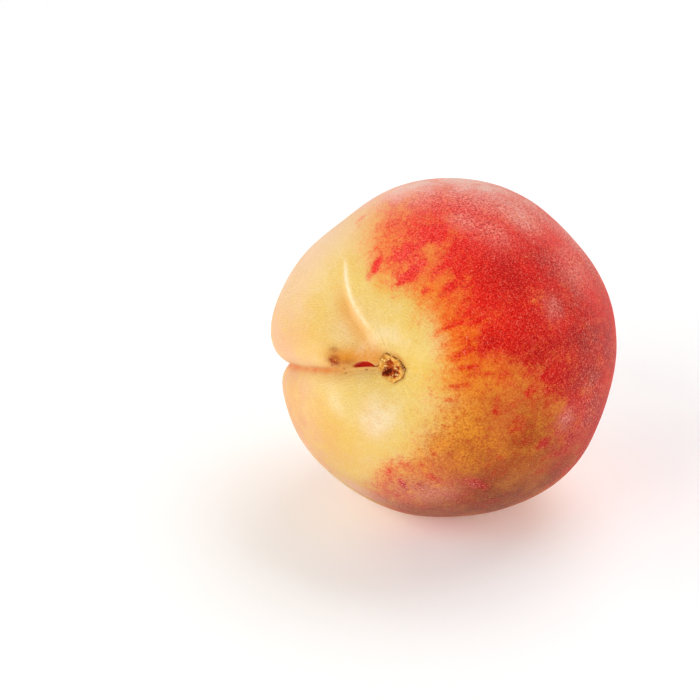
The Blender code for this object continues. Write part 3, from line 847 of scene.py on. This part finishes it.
def stub_material():
    m = Nodes("dry_stem_look")
    place = m.add("ShaderNodeTexCoord").outputs["Object"]
    relief = m.attribute("relief")
    knots = m.noise(place, 620.0, 4.0, 0.65, 0.8)
    fibres = m.noise(place, 1500.0, 3.0, 0.6, 0.3)
    islands = m.noise(place, 980.0, 3.0, 0.6, 0.5, offset=(0.3, 0.1, 0.2))
    wood = m.mix(m.range(fibres, 0.3, 0.7), srgb(214, 138, 48), srgb(248, 200, 108))
    rust = m.mix(m.range(fibres, 0.35, 0.65), srgb(144, 44, 22), srgb(192, 86, 34))
    dark = m.math("ADD", relief, m.math("MULTIPLY", m.math("SUBTRACT", knots, 0.5), 1.6))
    colour = m.mix(m.range(dark, 0.10, -0.22), wood, rust)
    colour = m.mix(m.range(dark, -0.34, -0.80), colour, srgb(92, 30, 16))
    rim = m.math("MULTIPLY", m.attribute("rim"), m.range(knots, 0.36, 0.52, 0.25, 1.0))
    colour = m.mix(rim, colour, srgb(124, 36, 6))
    pale = m.math("MULTIPLY", m.range(islands, 0.56, 0.66), m.range(relief, -0.55, -0.1))
    colour = m.mix(pale, colour, srgb(252, 222, 140))
    m.join(colour, m.surface.inputs["Base Color"])
    m.join(m.range(fibres, 0.3, 0.7, 0.75, 0.95), m.surface.inputs["Roughness"])
    m.surface.inputs["Specular IOR Level"].default_value = 0.0
    m.join(m.bump(fibres, 0.0001, 0.6), m.surface.inputs["Normal"])
    return m.material


stub_mesh.materials.append(stub_material())
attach(stub_object, "root")
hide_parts("stem_stub")

# ---------------------------------------------------------------- studio
def studio_floor():
    profile = [(0.0, 0.0), (0.8, 0.0)]
    profile += [(0.8 + sin(radians(a)), 1.0 - cos(radians(a))) for a in range(3, 91, 3)]
    profile += [(1.8, 1.3)]
    shape = bmesh.new()
    sides = 96
    rings = []
    for far, height in profile[1:]:
        rings.append(
            [
                shape.verts.new((far * cos(a), far * sin(a), height))
                for a in np.arange(sides) / sides * 2 * np.pi
            ]
        )
    shape.faces.new(rings[0])
    for inner, outer in zip(rings, rings[1:]):
        for side in range(sides):
            after = (side + 1) % sides
            shape.faces.new((inner[side], outer[side], outer[after], inner[after]))
    mesh = bpy.data.meshes.new("studio_floor")
    shape.to_mesh(mesh)
    shape.free()
    mesh.shade_smooth()
    put_numbers(mesh, "rise_m", [vert.co.z for vert in mesh.vertices])
    floor = bpy.data.objects.new("studio_floor", mesh)
    bpy.context.scene.collection.objects.link(floor)
    m = Nodes("studio_paper")
    m.surface.inputs["Base Color"].default_value = (0.95, 0.95, 0.95, 1.0)
    m.surface.inputs["Roughness"].default_value = 0.95
    m.surface.inputs["Specular IOR Level"].default_value = 0.1
    m.surface.inputs["Emission Color"].default_value = (1.0, 1.0, 1.0, 1.0)
    glow = m.range(m.attribute("rise_m"), 0.0, 0.35, 0.11, 0.37)
    m.join(glow, m.surface.inputs["Emission Strength"])
    mesh.materials.append(m.material)


studio_floor()

CAMERA_TURN, CAMERA_RISE, CAMERA_FAR = 20.6, 27.0, 0.423
LENS, SENSOR = 100.0, 36.0
middle = Vector(core) * MM
turn, rise = radians(CAMERA_TURN), radians(CAMERA_RISE)
back = Vector((sin(turn) * cos(rise), -cos(turn) * cos(rise), sin(rise)))
right = Vector((cos(turn), sin(turn), 0.0))
up = back.cross(right)
camera = bpy.data.objects.new("camera", bpy.data.cameras.new("camera"))
bpy.context.scene.collection.objects.link(camera)
camera.data.lens = LENS
camera.data.sensor_width = SENSOR
camera.data.clip_start, camera.data.clip_end = 0.01, 20.0
camera.location = middle + back * CAMERA_FAR
focal = 700 * LENS / SENSOR
forward = -back - right * (95 / focal) - up * (1 / focal)
camera.rotation_euler = forward.to_track_quat("-Z", "Y").to_euler()
bpy.context.scene.camera = camera


def softbox(name, azimuth, elevation, far, width, height, power, colour=(1.0, 1.0, 1.0)):
    """A soft light. Its azimuth and elevation are seen from the camera's side."""
    a, e = turn + radians(azimuth), radians(elevation)
    toward = Vector((sin(a) * cos(e), -cos(a) * cos(e), sin(e)))
    light = bpy.data.lights.new(name, "AREA")
    light.shape = "RECTANGLE"
    light.size, light.size_y = width, height
    light.energy = power
    light.color = colour
    lamp = bpy.data.objects.new(name, light)
    bpy.context.scene.collection.objects.link(lamp)
    lamp.location = middle + toward * far
    lamp.visible_camera = False
    lamp.rotation_euler = (-toward).to_track_quat("-Z", "Y").to_euler()
    return lamp


softbox("key", -46, 27, 0.9, 0.55, 0.75, 2.95)
softbox("left_strip", -88, 12, 0.8, 0.25, 0.7, 2.0)
softbox("right_fill", 62, 34, 1.0, 0.8, 0.8, 1.1)
softbox("top_rear", 140, 62, 1.0, 0.9, 0.6, 5.0)

world = bpy.data.worlds.new("studio")
bpy.context.scene.world = world
world.use_nodes = True
world.node_tree.nodes["Background"].inputs["Color"].default_value = (1.0, 1.0, 1.0, 1.0)
world.node_tree.nodes["Background"].inputs["Strength"].default_value = 0.12
bpy.context.scene.view_settings.view_transform = "Standard"
bpy.context.scene.view_settings.look = "None"
